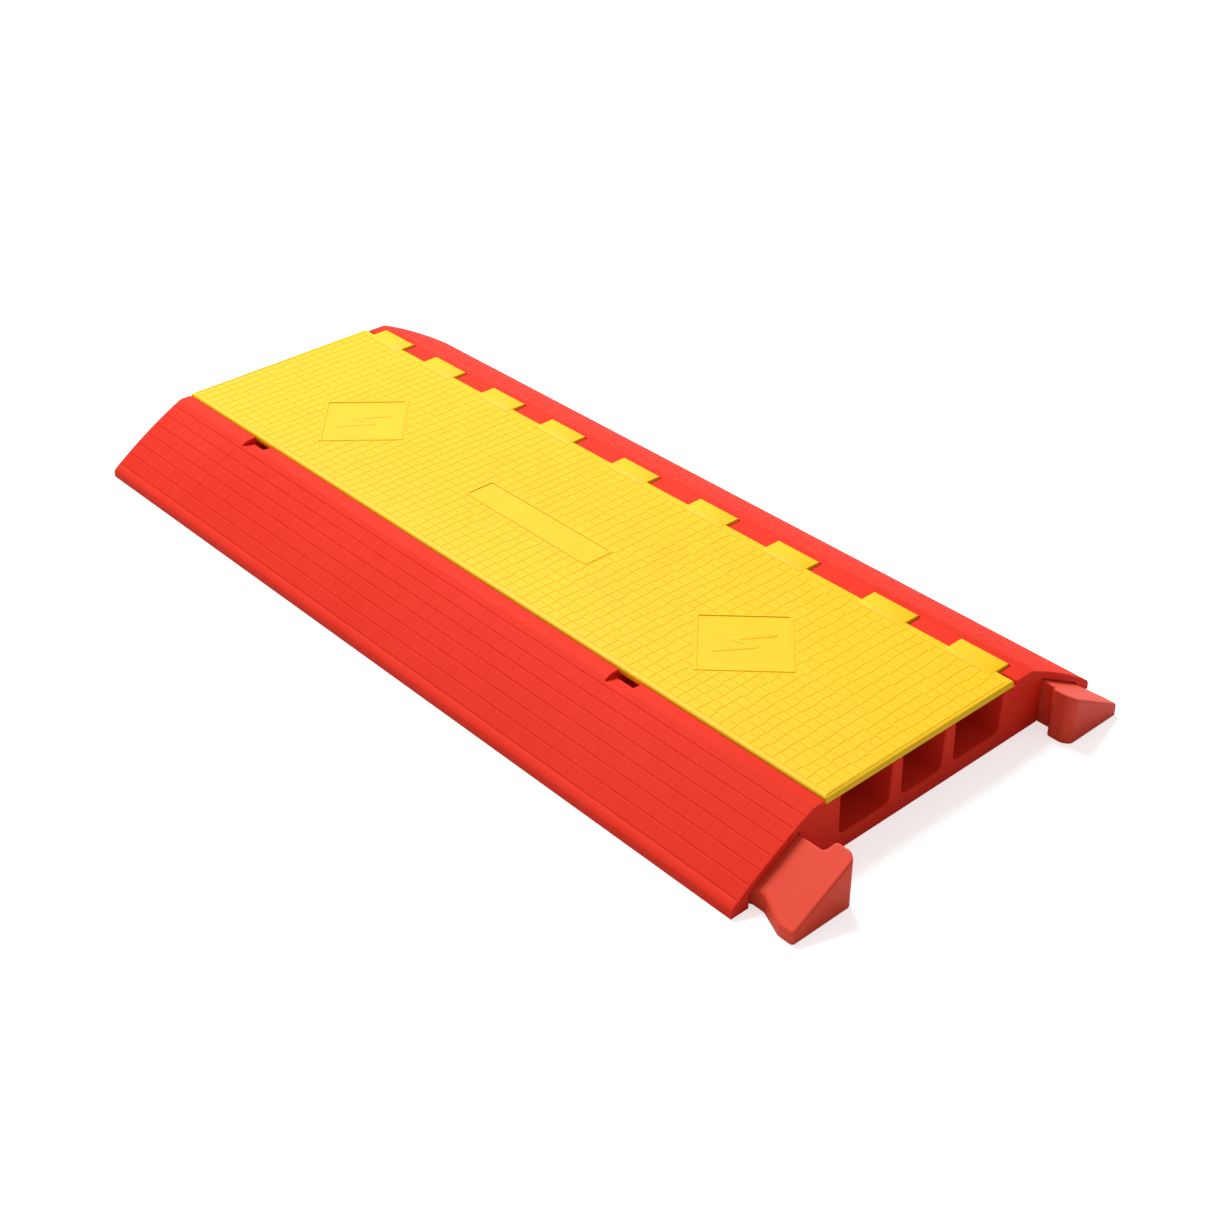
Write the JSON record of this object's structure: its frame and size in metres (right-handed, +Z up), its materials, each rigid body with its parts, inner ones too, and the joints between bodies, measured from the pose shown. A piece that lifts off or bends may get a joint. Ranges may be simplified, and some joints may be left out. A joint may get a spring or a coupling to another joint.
{
  "type": "cable protector ramp",
  "caption": "Drive-over cable protector with two ramps, open cable channels under a hinged tread lid, and loose joining pieces that lock it to the next module.",
  "frame": {"origin": "on the floor, under the middle of the module's base", "axes": "+X along the module towards its joining pieces, +Y towards the hinge, +Z up"},
  "size_m": [0.965, 0.442, 0.063],
  "materials": {
    "red_moulding": "satin moulded polyurethane",
    "yellow_moulding": "satin moulded polyurethane",
    "connector_moulding": "smooth moulded polyurethane",
    "rod_steel": "drawn"
  },
  "bodies": {
    "base": {"base": "red_moulding", "hinge_rod": "rod_steel", "rod_plug": "red_moulding"},
    "lid": {"lid": "yellow_moulding"},
    "front_connector": {"front_connector": "connector_moulding"},
    "rear_connector": {"rear_connector": "connector_moulding"}
  },
  "joints": [
    {"name": "lid_hinge", "type": "hinge", "parent": "base", "child": "lid", "pos_m": [0, 0.116, 0.0548], "axis": [-1, 0, 0], "range_deg": [0, 105]},
    {"name": "front_connector_slide", "type": "slide", "parent": "base", "child": "front_connector", "axis": [1, 0, 0], "range_m": [-0.011, 0]},
    {"name": "rear_connector_slide", "type": "slide", "parent": "base", "child": "rear_connector", "axis": [1, 0, 0], "range_m": [0, 0.011]}
  ]
}
